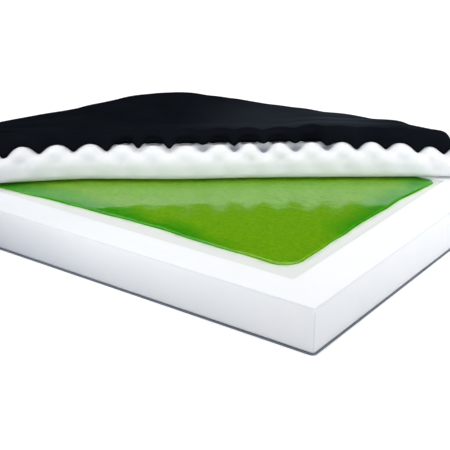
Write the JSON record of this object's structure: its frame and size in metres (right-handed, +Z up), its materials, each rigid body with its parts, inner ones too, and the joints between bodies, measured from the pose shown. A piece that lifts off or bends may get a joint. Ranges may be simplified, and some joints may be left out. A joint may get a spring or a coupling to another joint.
{
  "type": "memory foam mattress",
  "caption": "Foam mattress with gel pad in a recess, egg-crate topper folded back along the diagonal, and a black stretch cover with an all-round zip.",
  "frame": {"origin": "middle of the underside, where the mattress rests on its bed base", "axes": "+X along the length towards the uncovered end, +Y across the width away from the uncovered side, +Z up"},
  "size_m": [2.032, 1.524, 0.361],
  "materials": {
    "base_foam": "matt open-cell polyurethane foam, fine pores",
    "topper_foam": "matt convoluted (egg-crate) foam",
    "gel": "green translucent gel with fine mottled grain",
    "gel_film": "thin glossy welded film, wrinkled at the edges",
    "cover_fabric": "blue-black stretch knit, soft sheen",
    "bottom_fabric": "dark slate woven backing",
    "zip_tape": "woven polyester zip tape",
    "zip_coil": "nylon coil",
    "zip_metal": "satin nickel plated"
  },
  "bodies": {
    "root": {"base_foam": "base_foam", "cover_bottom_panel": "bottom_fabric", "zip_tape_lower_open": "zip_tape", "zip_coil_lower_open": "zip_coil", "zip_tape_lower_closed": "zip_tape", "zip_coil_lower_closed": "zip_coil", "zip_end_stop": "zip_metal"},
    "gel_pad": {"gel_core": "gel", "gel_film_top": "gel_film", "gel_film_bottom": "gel_film"},
    "topper": {"topper_foam": "topper_foam"},
    "cover": {"cover_top_panel": "cover_fabric", "cover_border_front": "cover_fabric", "cover_border_right": "cover_fabric", "cover_border_back": "cover_fabric", "cover_border_left": "cover_fabric", "side_piping": "cover_fabric", "zip_tape_upper_open": "zip_tape", "zip_coil_upper_open": "zip_coil", "zip_tape_upper_closed": "zip_tape", "zip_coil_upper_closed": "zip_coil"},
    "slider": {"zip_slider": "zip_metal"},
    "pull": {"zip_pull": "zip_metal"}
  },
  "joints": [
    {"name": "gel_lift", "type": "slide", "parent": "root", "child": "gel_pad", "axis": [0, 0, 1], "range_m": [0, 0.25]},
    {"name": "topper_lift", "type": "slide", "parent": "gel_pad", "child": "topper", "axis": [0, 0, 1], "range_m": [0, 0.3]},
    {"name": "cover_lift", "type": "slide", "parent": "topper", "child": "cover", "axis": [0, 0, 1], "range_m": [0, 0.35]},
    {"name": "slider_run", "type": "slide", "parent": "root", "child": "slider", "axis": [-1, 0, 0], "range_m": [0, 1.85]},
    {"name": "pull_swing", "type": "hinge", "parent": "slider", "child": "pull", "pos_m": [0.9434, 0.76, 0.0132], "axis": [0, 0, 1], "range_deg": [0, 175]}
  ]
}
